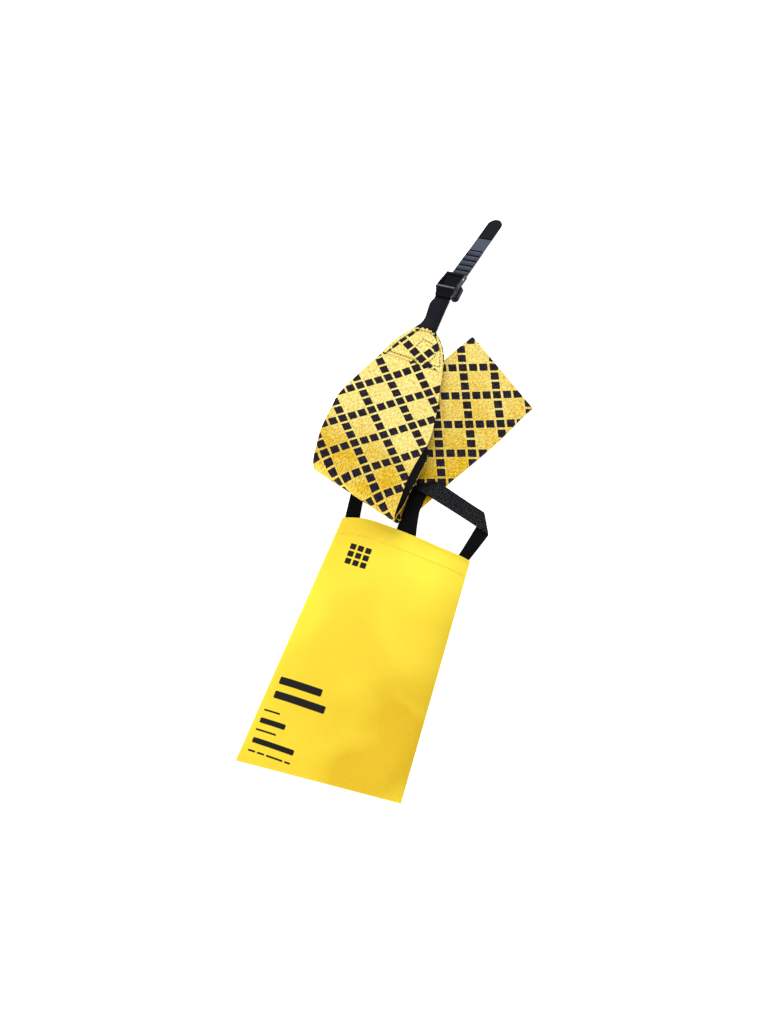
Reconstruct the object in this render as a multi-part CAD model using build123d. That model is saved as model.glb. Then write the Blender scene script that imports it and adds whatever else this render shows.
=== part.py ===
"""One climbing skin for a touring ski, stored glue to glue and folded, lying at the mouth of its flat bag.

The skin is a plush strip with black glue on its back.  It is closed on itself, glue to glue, so that it
makes a double strip: the tail half outside, the tip half inside.  The double strip is folded twice more.
A small fold (the far fold) turns it under itself, and a wide roll turns its tail end back over the top.
A rubber strap with a cam buckle and a hook leaves the tail.  The tip's wire loop lies under the tail.

Frame: +Z up from the table, +Y from the bag towards the skin.  The layout is drawn from the middle of the
bag's mouth, and every part is moved at the end so that the origin is at the middle of the whole
object's footprint, on the table.
"""
from build123d import *
import os
from math import atan2, cos, degrees, hypot, radians, sin

# ---------------------------------------------------------------- driving dimensions, in mm and degrees

# Skin layers
PLUSH_T = 1.4                    # printed plush fabric
GLUE_T = 0.5                     # adhesive on its membrane
LAMINATE_GAP = 0.05              # half of the parting line between two layers
SKIN_T = PLUSH_T + GLUE_T + 3 * LAMINATE_GAP     # one skin, measured from the double strip's middle
FOLD_CLEARANCE = 0.3             # between the strip's levels

# Levels of the double strip's middle surface
Z_UNDER = SKIN_T
Z_BASE = 3 * SKIN_T + FOLD_CLEARANCE
FAR_FOLD_R = (Z_BASE - Z_UNDER) / 2
ROLL_R = 15.0                    # the wide roll, to the middle surface
Z_CREST = Z_BASE + 2 * ROLL_R
Z_TAIL = 13.0                    # middle surface at the flat tail

# Lines of the two folds in plan: an end point of each axis, its direction and its length
ROLL_LEFT = (-134.0, 59.9)
ROLL_ANGLE = -16.2
ROLL_LENGTH = 124.7
BASE_RIGHT = (-4.0, 22.1)        # the lower strip's right corner, on the line of the roll
FAR_LEFT = (-7.6, 288.0)
FAR_RIGHT = (94.4, 213.9)
UNDER_LENGTH = 150.0             # how far the strip comes back under itself
UNDER_INSET = 3.0
BASE_ANGLE = 62.3                # direction of the lower strip

# Side view of the flap above the roll
FALL_R = 150.0
FALL_ANGLE = 9.5
FLAP_START = 0.35                # gap to the roll, where the flap hinges
FLAP_REACH = 260.0

# Tail end, strap and buckle
TAIL_END_Y = 277.0
PATCH_T = 1.0
PATCH_INSET = 1.0
THREAD = 0.5
STITCH_LENGTH = 3.0
STITCH_PITCH = 5.0
STRAP_HINGE_Y = 280.0
STRAP_X = -66.0
STRAP_T = 2.6
STRAP_SLOPE = 0.3                # the strap comes down slightly towards the table
STRAP_LENGTH = 48.2
STRAP_END_X = 5.2                # the plain strap leans this far to one side
# Along the plain strap: distance, middle, width, and share of the turn and twist made by then
STRAP_SECTIONS = [(0.2, 0.5, 26.5, 0.0), (9.0, 3.1, 22.2, 0.15), (24.0, 3.8, 22.8, 0.5)]
STRAP_END_W = 23.6
LADDER_TURN = 13.3
LADDER_TWIST = 26.0              # the hook under the buckle props its right side up
LADDER_W = 24.0                  # across the toothed length
TAB_W = 22.0                     # across the smooth panel and the end tab
LADDER_T = 2.4
LADDER_LENGTH = 147.5
GROOVE_START = 16.5
GROOVE_PITCH = 9.0
GROOVE_W = 1.3
GROOVE_D = 0.7
PANEL_Y = 88.5                   # the groove where the smooth panel starts
TAB_LINE_Y = 111.6               # the groove between the smooth panel and the end tab
BUCKLE_AT = 24.5                 # along the ladder strap
BUCKLE_LEFT = -16.0              # the frame's walls: a thick one at the left
BUCKLE_RIGHT = 14.1              # and a thin one at the hook's side
BUCKLE_INNER = 12.3
HOOK_ARM = 2.6                   # thickness of the hook's two arms
HOOK_REACH = 22.0                # middle of the hook's free arm at its root, from the buckle's middle
PIN_Y = 11.5
PIN_R = 1.2
RUNNING = 0.05                   # radial clearance of a pin in its bore
LEVER_W = 21.6

# Tip fittings
LOOP_WIRE_R = 1.5
LOOP_BAR_Y = 230.0
LOOP_END_Y = 252.0
LOOP_HALF_W = 18.0
LOOP_X = -66.0
LOOP_Z = 10.2
RIVET_R = 1.5
RIVET_SPACING = 20.0
RIVET_Y = 215.0

# Bag and handles
PANEL_T = 0.9
HEM_T = 0.6
HEM_DEPTH = 24.0
MOUTH = [(-82.0, -0.5), (-45.0, 4.3), (14.0, 1.4), (46.0, -2.1), (83.0, -3.8)]   # two arcs along its edge
BAG_CORNERS = [MOUTH[0], MOUTH[-1], (95.5, -303.0), (-97.0, -318.0)]
PUFF_INSET = 14.0                # width of the sloping border round the front panel
Z_MOUTH = 12.0                   # top of the front panel at the mouth
Z_BOTTOM = 7.0                   # and near the bag's bottom
WEBBING_T = 1.4
Z_HANDLE_LEFT = 10.3             # top of the front handle over the skin's corner
Z_HANDLE_RIGHT = 4.4             # and at the bag's corner
HANDLE_BEND = (40.0, 74.0)       # where it comes down between the two
Z_REAR_HANDLE = 1.6
HANDLE_HINGE_Y = 5.0
HANDLE_GAP = 0.3
TAB_DEPTH = 26.0                 # how far a handle's ends reach into the mouth
PART_GAP = 0.05                  # parting line between sewn layers


# ---------------------------------------------------------------- helpers

def prism(points, z_low, z_high):
    """A flat-ended solid on a plan outline given as straight runs."""
    return extrude(make_face(Polyline(*points, close=True)), z_high - z_low).moved(Location((0, 0, z_low)))


def block(x0, x1, y0, y1, z0, z1):
    """A box between two corners."""
    size = (x1 - x0, y1 - y0, z1 - z0)
    return Box(*size).moved(Location(((x0 + x1) / 2, (y0 + y1) / 2, (z0 + z1) / 2)))


def unit(angle):
    """The plan direction at an angle from +X."""
    return cos(radians(angle)), sin(radians(angle))


def along(point, direction, distance):
    """A plan point some distance from another."""
    return point[0] + direction[0] * distance, point[1] + direction[1] * distance


ROLL_DIR = unit(ROLL_ANGLE)
ROLL_NORMAL = unit(ROLL_ANGLE + 90)
ROLL_RIGHT = along(ROLL_LEFT, ROLL_DIR, ROLL_LENGTH)
FAR_ANGLE = degrees(atan2(FAR_RIGHT[1] - FAR_LEFT[1], FAR_RIGHT[0] - FAR_LEFT[0]))
FAR_DIR = unit(FAR_ANGLE)
FAR_LENGTH = hypot(FAR_RIGHT[0] - FAR_LEFT[0], FAR_RIGHT[1] - FAR_LEFT[1])
BASE_DIR = unit(BASE_ANGLE)


def side_plane(point, angle):
    """A vertical plane whose local x runs at right angles to a fold and whose local y is up."""
    normal = unit(angle + 90)
    direction = unit(angle)
    return Plane(origin=(*point, 0), x_dir=(*normal, 0), z_dir=(*direction, 0))


# ---------------------------------------------------------------- skin

# Each layer of the double strip: how far its two faces stand from the middle surface.  The tail half is
# on the positive side, which faces down on the lower strip and up on the flap.
GLUE_FACES = (LAMINATE_GAP, LAMINATE_GAP + GLUE_T)
PLUSH_FACES = (2 * LAMINATE_GAP + GLUE_T, 2 * LAMINATE_GAP + GLUE_T + PLUSH_T)
LAYERS = {
    "tail_plush": PLUSH_FACES,
    "tail_glue": GLUE_FACES,
    "tip_glue": (-GLUE_FACES[1], -GLUE_FACES[0]),
    "tip_plush": (-PLUSH_FACES[1], -PLUSH_FACES[0]),
}


def half_ring(point, angle, length, z, r_small, r_large, side):
    """Half a tube round a fold, on the side of the axis that local x = side points to."""
    ring = Circle(r_large) - Circle(r_small)
    keep = Rectangle(2 * r_large, 4 * r_large).moved(Location((side * r_large, 0)))
    face = (ring & keep).moved(Location((0, z)))
    return extrude(side_plane(point, angle) * face, length)


def base_layer(low, high):
    """One layer of the lower strip: the part underneath, the far fold, the long run and the wide roll."""
    run = [ROLL_LEFT, FAR_LEFT, FAR_RIGHT, BASE_RIGHT]
    long_run = prism(run, Z_BASE - high, Z_BASE - low)
    left = along(FAR_LEFT, FAR_DIR, UNDER_INSET)
    right = along(FAR_RIGHT, FAR_DIR, -UNDER_INSET)
    under = [left, right, along(right, BASE_DIR, -UNDER_LENGTH), along(left, BASE_DIR, -UNDER_LENGTH)]
    underneath = prism(under, Z_UNDER + low, Z_UNDER + high)
    far_z = (Z_UNDER + Z_BASE) / 2
    far_fold = half_ring(FAR_LEFT, FAR_ANGLE, FAR_LENGTH, far_z, FAR_FOLD_R - high, FAR_FOLD_R - low, 1)
    roll_z = Z_BASE + ROLL_R
    roll = half_ring(ROLL_LEFT, ROLL_ANGLE, ROLL_LENGTH, roll_z, ROLL_R + low, ROLL_R + high, -1)
    return long_run + underneath + far_fold + roll


def flap_path(offset):
    """The flap's side view, a given height above its middle surface: crest, slope, landing, flat tail."""
    fall = JernArc((FLAP_START, Z_CREST + offset), (1, 0), FALL_R + offset, -FALL_ANGLE)
    drop = Z_CREST - Z_TAIL - 2 * FALL_R * (1 - cos(radians(FALL_ANGLE)))
    slope = Line(fall @ 1, fall @ 1 + (fall % 1) * (drop / sin(radians(FALL_ANGLE))))
    landing = JernArc(slope @ 1, slope % 1, FALL_R - offset, FALL_ANGLE)
    tail = Line(landing @ 1, (FLAP_REACH, (landing @ 1).Y))
    return fall + slope + landing + tail


def flap_layer(low, high, outline):
    """One layer of the flap, cut to its plan outline."""
    lower = flap_path(low)
    upper = flap_path(high)
    ends = Line(lower @ 0, upper @ 0) + Line(lower @ 1, upper @ 1)
    face = make_face((lower + upper + ends).edges())
    sheet = extrude(side_plane(along(ROLL_LEFT, ROLL_DIR, -20), ROLL_ANGLE) * face, ROLL_LENGTH + 60)
    return sheet & outline


def tail_outline(end_y):
    """The plan outline of the tail half's flap, tapering to the tail, up to a given end."""
    left = Spline((-138, 55), (-141, 95), (-137.5, 151), (-109, 226), (-93, 260), (-80, end_y))
    right = Spline((-20.5, 20), (-18.5, 65), (-11.5, 122), (-15.5, 165), (-29.7, 241), (-38, 262),
                   (-52, end_y))
    close = Line(left @ 1, right @ 1) + Line(left @ 0, right @ 0)
    return extrude(make_face((left + right + close).edges()), 80)


def tip_outline():
    """The plan outline of the tip half's flap.  It stands out past the tail half along its right edge."""
    left = Spline((-136, 55), (-137, 95), (-127, 162), (-106, 212), (-96, 224))
    beside_handle = Line((-14.6, 20), (-14.6, 80))
    right = Spline((-14.6, 80), (-7, 100), (-12, 130), (-26, 195), (-42, 224))
    close = Line(left @ 1, right @ 1) + Line(left @ 0, beside_handle @ 0)
    return extrude(make_face((left + beside_handle + right + close).edges()), 80)


def stitch_row(points, z):
    """Short threads laid end to end along straight runs."""
    threads = []
    for start, end in zip(points[:-1], points[1:]):
        length = hypot(end[0] - start[0], end[1] - start[1])
        turn = degrees(atan2(end[1] - start[1], end[0] - start[0]))
        count = max(1, int(length / STITCH_PITCH))
        for i in range(count):
            place = along(start, unit(turn), (i + 0.5) * length / count)
            thread = Box(STITCH_LENGTH, THREAD, THREAD)
            threads.append(thread.moved(Location((*place, z + THREAD / 2), (0, 0, turn))))
    return threads


def make_skin():
    """The four layers in their two stretches, and what is sewn and riveted to them."""
    parts = {}
    rivet_places = [(LOOP_X + s * RIVET_SPACING / 2, RIVET_Y, 0) for s in (-1, 1)]
    for name, (low, high) in LAYERS.items():
        parts[name + "_base"] = base_layer(low, high)
        outline = tail_outline(TAIL_END_Y) if name.startswith("tail") else tip_outline()
        layer = flap_layer(low, high, outline)
        if name.startswith("tip"):
            for place in rivet_places:
                layer -= Cylinder(RIVET_R + 0.1, 80).moved(Location(place))
        parts[name + "_flap"] = layer
    patch_z = Z_TAIL + SKIN_T + LAMINATE_GAP
    keep = prism([(-130, 229), (20, 221), (20, 300), (-130, 300)], patch_z, patch_z + PATCH_T)
    shrink = tail_outline(TAIL_END_Y - PATCH_INSET)
    parts["tail_patch"] = keep & shrink
    seam = [(-98, 232), (-51, 226.5), (-40.5, 240), (-47, 266), (-58, 273), (-74, 273), (-87, 257),
            (-98, 232)]
    parts["tail_patch_stitching"] = Compound(children=stitch_row(seam, patch_z + PATCH_T + 0.02))
    parts.update(make_tip(rivet_places))
    return parts


def make_tip(rivet_places):
    """The webbing tab, its two rivets and the wire loop that goes over the ski's tip."""
    tab_top = Z_TAIL - SKIN_T - LAMINATE_GAP
    tab = block(LOOP_X - 14, LOOP_X + 14, RIVET_Y - 8, LOOP_BAR_Y, tab_top - WEBBING_T, tab_top)
    bar_place = Location((LOOP_X, LOOP_BAR_Y, LOOP_Z))
    sleeve = Cylinder(LOOP_WIRE_R + 1.0, 28, rotation=(0, 90, 0)).moved(bar_place)
    bore = Cylinder(LOOP_WIRE_R + RUNNING, 60, rotation=(0, 90, 0)).moved(bar_place)
    tab = tab + sleeve - bore
    rivets = []
    for place in rivet_places:
        tab -= Cylinder(RIVET_R + 0.1, 80).moved(Location(place))
        z_top = Z_TAIL - LAMINATE_GAP
        z_head = tab_top - WEBBING_T - 0.02
        shank = Cylinder(RIVET_R, z_top - z_head).moved(Location((place[0], place[1], (z_top + z_head) / 2)))
        head = Cylinder(3.2, 1.0).moved(Location((place[0], place[1], z_head - 0.5)))
        rivets.append(shank + fillet(head.edges().filter_by(GeomType.CIRCLE).sort_by(Axis.Z)[0], 0.6))
    x0, x1 = LOOP_X - LOOP_HALF_W, LOOP_X + LOOP_HALF_W
    corners = [(x0, LOOP_BAR_Y), (x1, LOOP_BAR_Y), (x1 - 3, LOOP_END_Y), (x0 + 3, LOOP_END_Y)]
    path = FilletPolyline(*[(x, y, LOOP_Z) for x, y in corners], radius=4.0, close=True)
    section = Plane(origin=path @ 0, z_dir=path % 0) * Circle(LOOP_WIRE_R)
    return {"tip_tab": tab, "tip_rivets": Compound(children=rivets), "tip_loop": sweep(section, path)}


# ---------------------------------------------------------------- tail strap and buckle

STRAP_Z = Z_TAIL - LAMINATE_GAP - STRAP_T / 2
STRAP_FRAME = Location((STRAP_X, STRAP_HINGE_Y, STRAP_Z), (-STRAP_SLOPE, 0, 0))
LADDER_FRAME = STRAP_FRAME * Location((STRAP_END_X, STRAP_LENGTH, 0), (0, 0, -LADDER_TURN)) * Location(
    (0, 0, 0), (0, -LADDER_TWIST, 0))
BUCKLE_FRAME = LADDER_FRAME * Location((0, BUCKLE_AT, 0))


def strap_section(y, x, width, share):
    """A cross-section of the plain strap, which has made this share of its turn and twist."""
    turned = Location((x, y, 0), (0, 0, -LADDER_TURN * share))
    twisted = Location((0, 0, 0), (0, -LADDER_TWIST * share, 0))
    upright = Location((0, 0, 0), (90, 0, 0))
    return turned * twisted * upright * Rectangle(width, STRAP_T)


def make_strap():
    """The root sewn under the tail, the plain twisted strap and the ladder strap joined to it."""
    end = -HANDLE_GAP
    root = prism([(-17, -20), (17, -20), (16, -5), (13, end), (-13, end), (-16, -5)], 0, STRAP_T)
    root = root.moved(Location((STRAP_X, STRAP_HINGE_Y, STRAP_Z - STRAP_T / 2)))
    sections = [*STRAP_SECTIONS, (STRAP_LENGTH, STRAP_END_X + 0.8, STRAP_END_W, 1.0)]
    strap = loft([strap_section(*section) for section in sections])
    edge = [(LADDER_W / 2, 0.4), (LADDER_W / 2, 55), (LADDER_W / 2 - 0.5, PANEL_Y), (TAB_W / 2, PANEL_Y + 1),
            (TAB_W / 2, LADDER_LENGTH)]
    outline = edge + [(-x, y) for x, y in reversed(edge)]
    ladder = prism(outline, -LADDER_T / 2, LADDER_T / 2)
    ladder = fillet(ladder.edges().filter_by(Axis.Z).group_by(Axis.Y)[-1], TAB_W / 2 - 0.5)
    ladder = fillet(ladder.edges().group_by(Axis.Z)[-1], 0.4)
    grooves = [GROOVE_START + GROOVE_PITCH * i for i in range(9)] + [TAB_LINE_Y]
    for y in grooves:
        top = LADDER_T / 2
        ladder -= block(-LADDER_W, LADDER_W, y - GROOVE_W / 2, y + GROOVE_W / 2, top - GROOVE_D, top + 1)
    return {
        "strap_root": root,
        "tail_strap": strap.moved(STRAP_FRAME),
        "ladder_strap": ladder.moved(LADDER_FRAME),
    }


def make_buckle():
    """The frame with its lip and hook, the cam lever over the ladder strap and the pin it turns on."""
    left, right, inner = BUCKLE_LEFT, BUCKLE_RIGHT, BUCKLE_INNER
    floor_top = -LADDER_T / 2 - 0.3
    bar_low = LADDER_T / 2 + 0.4
    lip_top = bar_low + 1.5
    wall_top = 8.0
    rear = 18.5
    rear_top = 6.4
    frame = block(left, right, -11, rear, floor_top - 1.8, floor_top)
    frame += block(left, -inner, -11, rear, floor_top, wall_top)
    frame += block(inner, right, -11, rear, floor_top, wall_top)
    front = Polyline((-6, bar_low), (-6, wall_top), (-8.6, wall_top), (-13, lip_top), (-13, bar_low), close=True)
    frame += extrude(Plane.YZ.offset(left) * make_face(front), right - left)
    lip = LADDER_W / 2
    frame += prism([(left, -12), (-lip, -21), (lip - 0.5, -21), (right, -12)], bar_low, lip_top)
    frame += block(-inner, inner, rear - 3.9, rear, bar_low, rear_top)
    above = Polyline((-2, wall_top), (rear + 1, rear_top - 0.5), (rear + 1, 20), (-2, 20), close=True)
    frame -= extrude(Plane.YZ * make_face(above), 40, both=True)
    under = Polyline((right + 1, -1.0), (right + 1, -4), (right - 2.6, -4), (right, -1.0), close=True)
    frame -= extrude(Plane.XZ * make_face(under), 40, both=True)
    root = inner + HOOK_ARM / 2
    hook_points = [(root, -4), (root, -21), (HOOK_REACH, -21), (HOOK_REACH - 3.4, -1.5)]
    hook_route = FilletPolyline(*hook_points, radius=3.0)
    hook = extrude(make_face(offset(hook_route, HOOK_ARM / 2, side=Side.BOTH).edges()), 6.0)
    frame += hook.moved(Location((0, 0, floor_top - 1.0)))
    pin_place = Location((0, PIN_Y, 3.9))
    pin = extrude(Plane.YZ.offset(left) * Circle(PIN_R), right - left).moved(pin_place)
    frame -= Cylinder(PIN_R + 0.02, 60, rotation=(0, 90, 0)).moved(pin_place)
    hub = Cylinder(2.2, LEVER_W, rotation=(0, 90, 0)).moved(pin_place)
    plate = block(-LEVER_W / 2, LEVER_W / 2, -5.3, PIN_Y, 4.0, 6.1)
    lever = hub + plate
    lever = fillet(lever.edges().filter_by(Axis.X).group_by(Axis.Y)[0], 0.7)
    lever -= Cylinder(PIN_R + RUNNING, LEVER_W + 2, rotation=(0, 90, 0)).moved(pin_place)
    shapes = {"buckle_frame": frame, "cam_pin": pin, "cam_lever": lever}
    return {name: shape.moved(BUCKLE_FRAME) for name, shape in shapes.items()}


# ---------------------------------------------------------------- bag and handles

PANEL_SLOPE = (Z_MOUTH - Z_BOTTOM) / -BAG_CORNERS[3][1]
UNDER_PANEL = Location((0, 0, Z_MOUTH - PANEL_T), (degrees(atan2(PANEL_SLOPE, 1)), 0, 0))


def bag_prism(z_low, z_high):
    """The bag's plan outline with its bowed mouth, as a solid."""
    left, right, low_right, low_left = BAG_CORNERS
    mouth = ThreePointArc(*MOUTH[:3]) + ThreePointArc(*MOUTH[2:])
    sides = Polyline(right, low_right, low_left, left)
    return extrude(make_face((mouth + sides).edges()), z_high - z_low).moved(Location((0, 0, z_low)))


def puff(drop, margin):
    """The wedge-shaped space under the front panel: open past the mouth, sloping along the other sides."""
    left, right, low_right, low_left = BAG_CORNERS
    reach = 40.0
    rings = []
    for inset in (margin, PUFF_INSET):
        rings.append([
            (left[0] + inset, reach),
            (right[0] - inset, reach),
            (low_right[0] - inset, low_right[1] + inset),
            (low_left[0] + inset, low_left[1] + inset),
        ])
    bottom = [(x, y, PANEL_T) for x, y in rings[0]]
    top = [(x, y, Z_MOUTH + PANEL_SLOPE * y - drop) for x, y in rings[1]]
    faces = [Face(Wire.make_polygon(ring)) for ring in (bottom[::-1], top)]
    for i in range(4):
        j = (i + 1) % 4
        faces.append(Face(Wire.make_polygon([bottom[i], bottom[j], top[j]])))
        faces.append(Face(Wire.make_polygon([bottom[i], top[j], top[i]])))
    return Solid(Shell(faces))


def make_bag():
    """The two panels, the hems folded into the mouth and the threads that hold them."""
    back = bag_prism(0, PANEL_T)
    front = (puff(0, 0) - puff(PANEL_T, 3.5)) & bag_prism(PANEL_T, 2 * Z_MOUTH)
    front_hem = block(-66, 66, -HEM_DEPTH, 0.5, -PART_GAP - HEM_T, -PART_GAP).moved(UNDER_PANEL)
    front_hem &= bag_prism(0, 2 * Z_MOUTH)
    back_hem = block(-76, 77, -HEM_DEPTH, -4.5, PANEL_T + PART_GAP, PANEL_T + PART_GAP + HEM_T)
    threads = []
    for y in (2 - HEM_DEPTH, -6.0):
        row = stitch_row([(-64, y), (64, y)], PANEL_T + PART_GAP)
        threads += [thread.moved(UNDER_PANEL) for thread in row]
    return {
        "bag_back_panel": back,
        "bag_front_panel": front,
        "front_hem": front_hem,
        "back_hem": back_hem,
        "hem_stitching": Compound(children=threads),
    }


def handle_ribbon():
    """A tall slice of webbing in side view: level over the skin's corner, then down to the bag's corner."""
    bend_from, bend_to = HANDLE_BEND
    top = [(-20, Z_HANDLE_LEFT), (bend_from, Z_HANDLE_LEFT), (bend_to, Z_HANDLE_RIGHT), (110, Z_HANDLE_RIGHT)]
    bottom = [(x, z - WEBBING_T) for x, z in reversed(top)]
    face = make_face(Polyline(*top, *bottom, close=True))
    return extrude(Plane(origin=(0, 200, 0), x_dir=(1, 0, 0), z_dir=(0, -1, 0)) * face, 300)


def make_handles():
    """The front handle, which swings at the mouth, its two sewn ends, and the rear handle under the skin."""
    y0 = HANDLE_HINGE_Y
    front = [(-13.4, y0), (-13.2, 55), (-9.8, 62), (10.1, 77), (19, 77.8), (50, 69), (80.8, 61), (94, 34.8),
             (84.3, y0), (68, y0), (77.2, 40.6), (36, 51), (5.4, 58.8), (4.6, 36), (8.6, 16), (12.3, y0)]
    under_hem = -PART_GAP - HEM_T - PART_GAP
    tab_end = y0 - HANDLE_GAP
    left_tab = block(-12.6, 11.4, -TAB_DEPTH, tab_end, under_hem - WEBBING_T, under_hem).moved(UNDER_PANEL)
    right_tab = block(64, 74, -TAB_DEPTH, tab_end, Z_HANDLE_RIGHT - WEBBING_T, Z_HANDLE_RIGHT)
    rear = [(-74.5, -TAB_DEPTH), (-74.5, 1), (-79, 1), (-84, 40), (-70, 66), (10, 62), (11.6, 45),
            (11.6, -TAB_DEPTH), (-11, -TAB_DEPTH), (-11, 42), (-62, 46), (-66, 38), (-61, 5),
            (-61, -TAB_DEPTH)]
    return {
        "front_handle": prism(front, 0, Z_MOUTH) & handle_ribbon(),
        "front_handle_tabs": Compound(children=[left_tab, right_tab]),
        "rear_handle": prism(rear, Z_REAR_HANDLE, Z_REAR_HANDLE + WEBBING_T),
    }


# ---------------------------------------------------------------- output

def main():
    """Build every part, move it to the footprint's middle and write it."""
    parts = {**make_skin(), **make_strap(), **make_buckle(), **make_bag(), **make_handles()}
    boxes = [shape.bounding_box() for shape in parts.values()]
    x = (min(box.min.X for box in boxes) + max(box.max.X for box in boxes)) / 2
    y = (min(box.min.Y for box in boxes) + max(box.max.Y for box in boxes)) / 2
    os.makedirs("parts", exist_ok=True)
    for name, shape in parts.items():
        export_step(shape.moved(Location((-x, -y, 0))), f"parts/{name}.step")
    print("middle of the footprint, from the bag's mouth", round(x, 4), round(y, 4))


main()
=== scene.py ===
"""Looks for one folded climbing skin and its flat bag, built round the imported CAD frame.

Lengths are in millimetres in the layout that the object is drawn in: the origin is the middle of the bag's
mouth, +Y runs from the bag to the skin and +Z is up from the table.  world() turns them into frame metres.
"""
from math import cos, pi, radians, sin

import bmesh
import bpy
import numpy as np
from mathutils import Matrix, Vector

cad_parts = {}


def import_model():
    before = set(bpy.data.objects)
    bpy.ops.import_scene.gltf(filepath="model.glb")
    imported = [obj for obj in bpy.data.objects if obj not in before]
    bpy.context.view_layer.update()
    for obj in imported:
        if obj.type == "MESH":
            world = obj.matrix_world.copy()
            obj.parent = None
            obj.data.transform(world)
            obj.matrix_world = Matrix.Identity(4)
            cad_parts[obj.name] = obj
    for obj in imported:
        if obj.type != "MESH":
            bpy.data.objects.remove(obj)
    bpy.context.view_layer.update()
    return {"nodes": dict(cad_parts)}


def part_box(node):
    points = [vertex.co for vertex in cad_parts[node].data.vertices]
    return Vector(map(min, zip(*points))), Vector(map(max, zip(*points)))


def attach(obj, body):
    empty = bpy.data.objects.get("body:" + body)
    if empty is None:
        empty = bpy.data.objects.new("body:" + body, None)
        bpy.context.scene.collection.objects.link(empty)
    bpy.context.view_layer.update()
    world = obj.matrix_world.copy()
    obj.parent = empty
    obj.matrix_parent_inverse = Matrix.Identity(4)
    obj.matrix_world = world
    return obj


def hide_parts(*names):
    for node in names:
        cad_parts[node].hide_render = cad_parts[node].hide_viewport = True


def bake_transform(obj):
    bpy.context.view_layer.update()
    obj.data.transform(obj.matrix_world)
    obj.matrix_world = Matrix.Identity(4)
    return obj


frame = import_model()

NODES = frame["nodes"]

# ---------------------------------------------------------------- driving dimensions

MM = 0.001
# Bag's corners in plan: mouth left and right, then bottom right and left
BAG_CORNERS = np.array([(-82.0, -0.5), (83.0, -3.8), (95.5, -303.0), (-97.0, -318.0)])
ORIGIN = np.array(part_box("bag_back_panel")[0]) - MM * np.array((-97.0, -318.0, 0.0))

# Skin: each layer's two faces, measured from the middle of the double strip
GLUE_FACES = (0.05, 0.55)
PLUSH_FACES = (0.65, 2.05)
PATCH_FACES = (2.12, 3.1)
Z_UNDER = 2.05                   # middle surfaces: of the part underneath, and of the run on the table
Z_BASE = 6.45
Z_FAR = (Z_UNDER + Z_BASE) / 2
FAR_R = (Z_BASE - Z_UNDER) / 2
ROLL_R = 15.0
Z_CREST = Z_BASE + 2 * ROLL_R
Z_TAIL = 13.0
FALL_R = 150.0                   # bends where the flap starts to fall and where it levels out
FALL = radians(9.5)
ROLL_RUN = pi * ROLL_R
FALL_RUN = FALL * FALL_R
SLOPE_RUN = (Z_CREST - Z_TAIL - 2 * FALL_R * (1 - cos(FALL))) / sin(FALL)
ROLL_LEFT = np.array((-134.0, 59.9))     # left end of the roll's crest line in plan
ROLL_ANGLE = radians(-16.2)
ROLL_DIR = np.array((cos(ROLL_ANGLE), sin(ROLL_ANGLE)))
ROLL_NORMAL = np.array((-sin(ROLL_ANGLE), cos(ROLL_ANGLE)))
UNDER_RUN = 150.0                # length and narrowing of the part underneath
UNDER_INSET = 3.0
GRID = 3.2                       # usual size of a cloth face
FLAP_ROWS = int(290 / GRID)
BASE_ROWS = int(250 / GRID)
SKIN_COLUMNS = int(126 / GRID)

# Bag
Z_MOUTH = 12.0
Z_BOTTOM = 7.0
PANEL_T = 0.9
HEM_T = 0.6
HEM_DEPTH = 24.0
BAG_DEPTH = 312.0
MOUTH_BOW = [(0, 0), (37, 5.5), (96, 3.8), (128, 1.1), (165, 0)]     # how far its edge bows out, along it
BORDER = 36.0                    # width of the rounded border of the front panel
BORDER_MOUTH_W = 163.0           # front panel's width from border to border, at the mouth
BORDER_WIDENS = 30.0             # and how much wider it is at the bottom

# Handles
WEBBING_T = 1.4
WEBBING_W = 24.0

# Strap and buckle
LADDER_START = (-60.8, 328.2, 11.6)
LADDER_TURN = radians(13.3)      # between the ladder strap and +Y
LADDER_TWIST = radians(26.0)
BUCKLE_AT = 24.5                 # along the ladder strap
GROOVE_START = 16.5
GROOVE_PITCH = 9.0

# Print on the skin
PRINT_CELL = 39.0                # from one row of squares to the next
PRINT_NAP = radians(80.0)
PRINT_ON_FLAP = radians(12.5)    # turns the print on the flap, and on the run from +X
PRINT_ON_BASE = radians(66.5)


def world(points):
    """Layout millimetres to frame metres."""
    return np.asarray(points, float) * MM + ORIGIN


# ---------------------------------------------------------------- shape helpers

def run_along(points):
    """The distance along a line of points to each of them."""
    return np.concatenate([[0], np.cumsum(np.linalg.norm(np.diff(points, axis=0), axis=1))])


def curve_through(points, count):
    """Evenly spaced points on a smooth curve through some points."""
    points = np.asarray(points, float)
    ends = np.vstack([2 * points[0] - points[1], points, 2 * points[-1] - points[-2]])
    fine = []
    for a, b, c, d in zip(ends[:-3], ends[1:-2], ends[2:-1], ends[3:]):
        for s in np.linspace(0, 1, 16, endpoint=False):
            fine.append(b + 0.5 * s * (c - a + s * (2 * a - 5 * b + 4 * c - d + s * (3 * (b - c) + d - a))))
    fine = np.array(fine + [points[-1]])
    run = run_along(fine)
    return np.stack([np.interp(np.linspace(0, run[-1], count), run, axis) for axis in fine.T], -1)


def ease(x):
    """A smooth step from 0 to 1."""
    x = np.clip(x, 0, 1)
    return x * x * (3 - 2 * x)


def blobs(x, y, spots):
    """Soft bumps and dents: each is a place, a reach along and across, a turn and a height."""
    total = np.zeros(np.broadcast(x, y).shape)
    for cx, cy, long, wide, turn, height in spots:
        a = radians(turn)
        p = ((x - cx) * cos(a) + (y - cy) * sin(a)) / long
        q = (-(x - cx) * sin(a) + (y - cy) * cos(a)) / wide
        total = total + height * np.exp(-(p * p + q * q))
    return total


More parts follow.
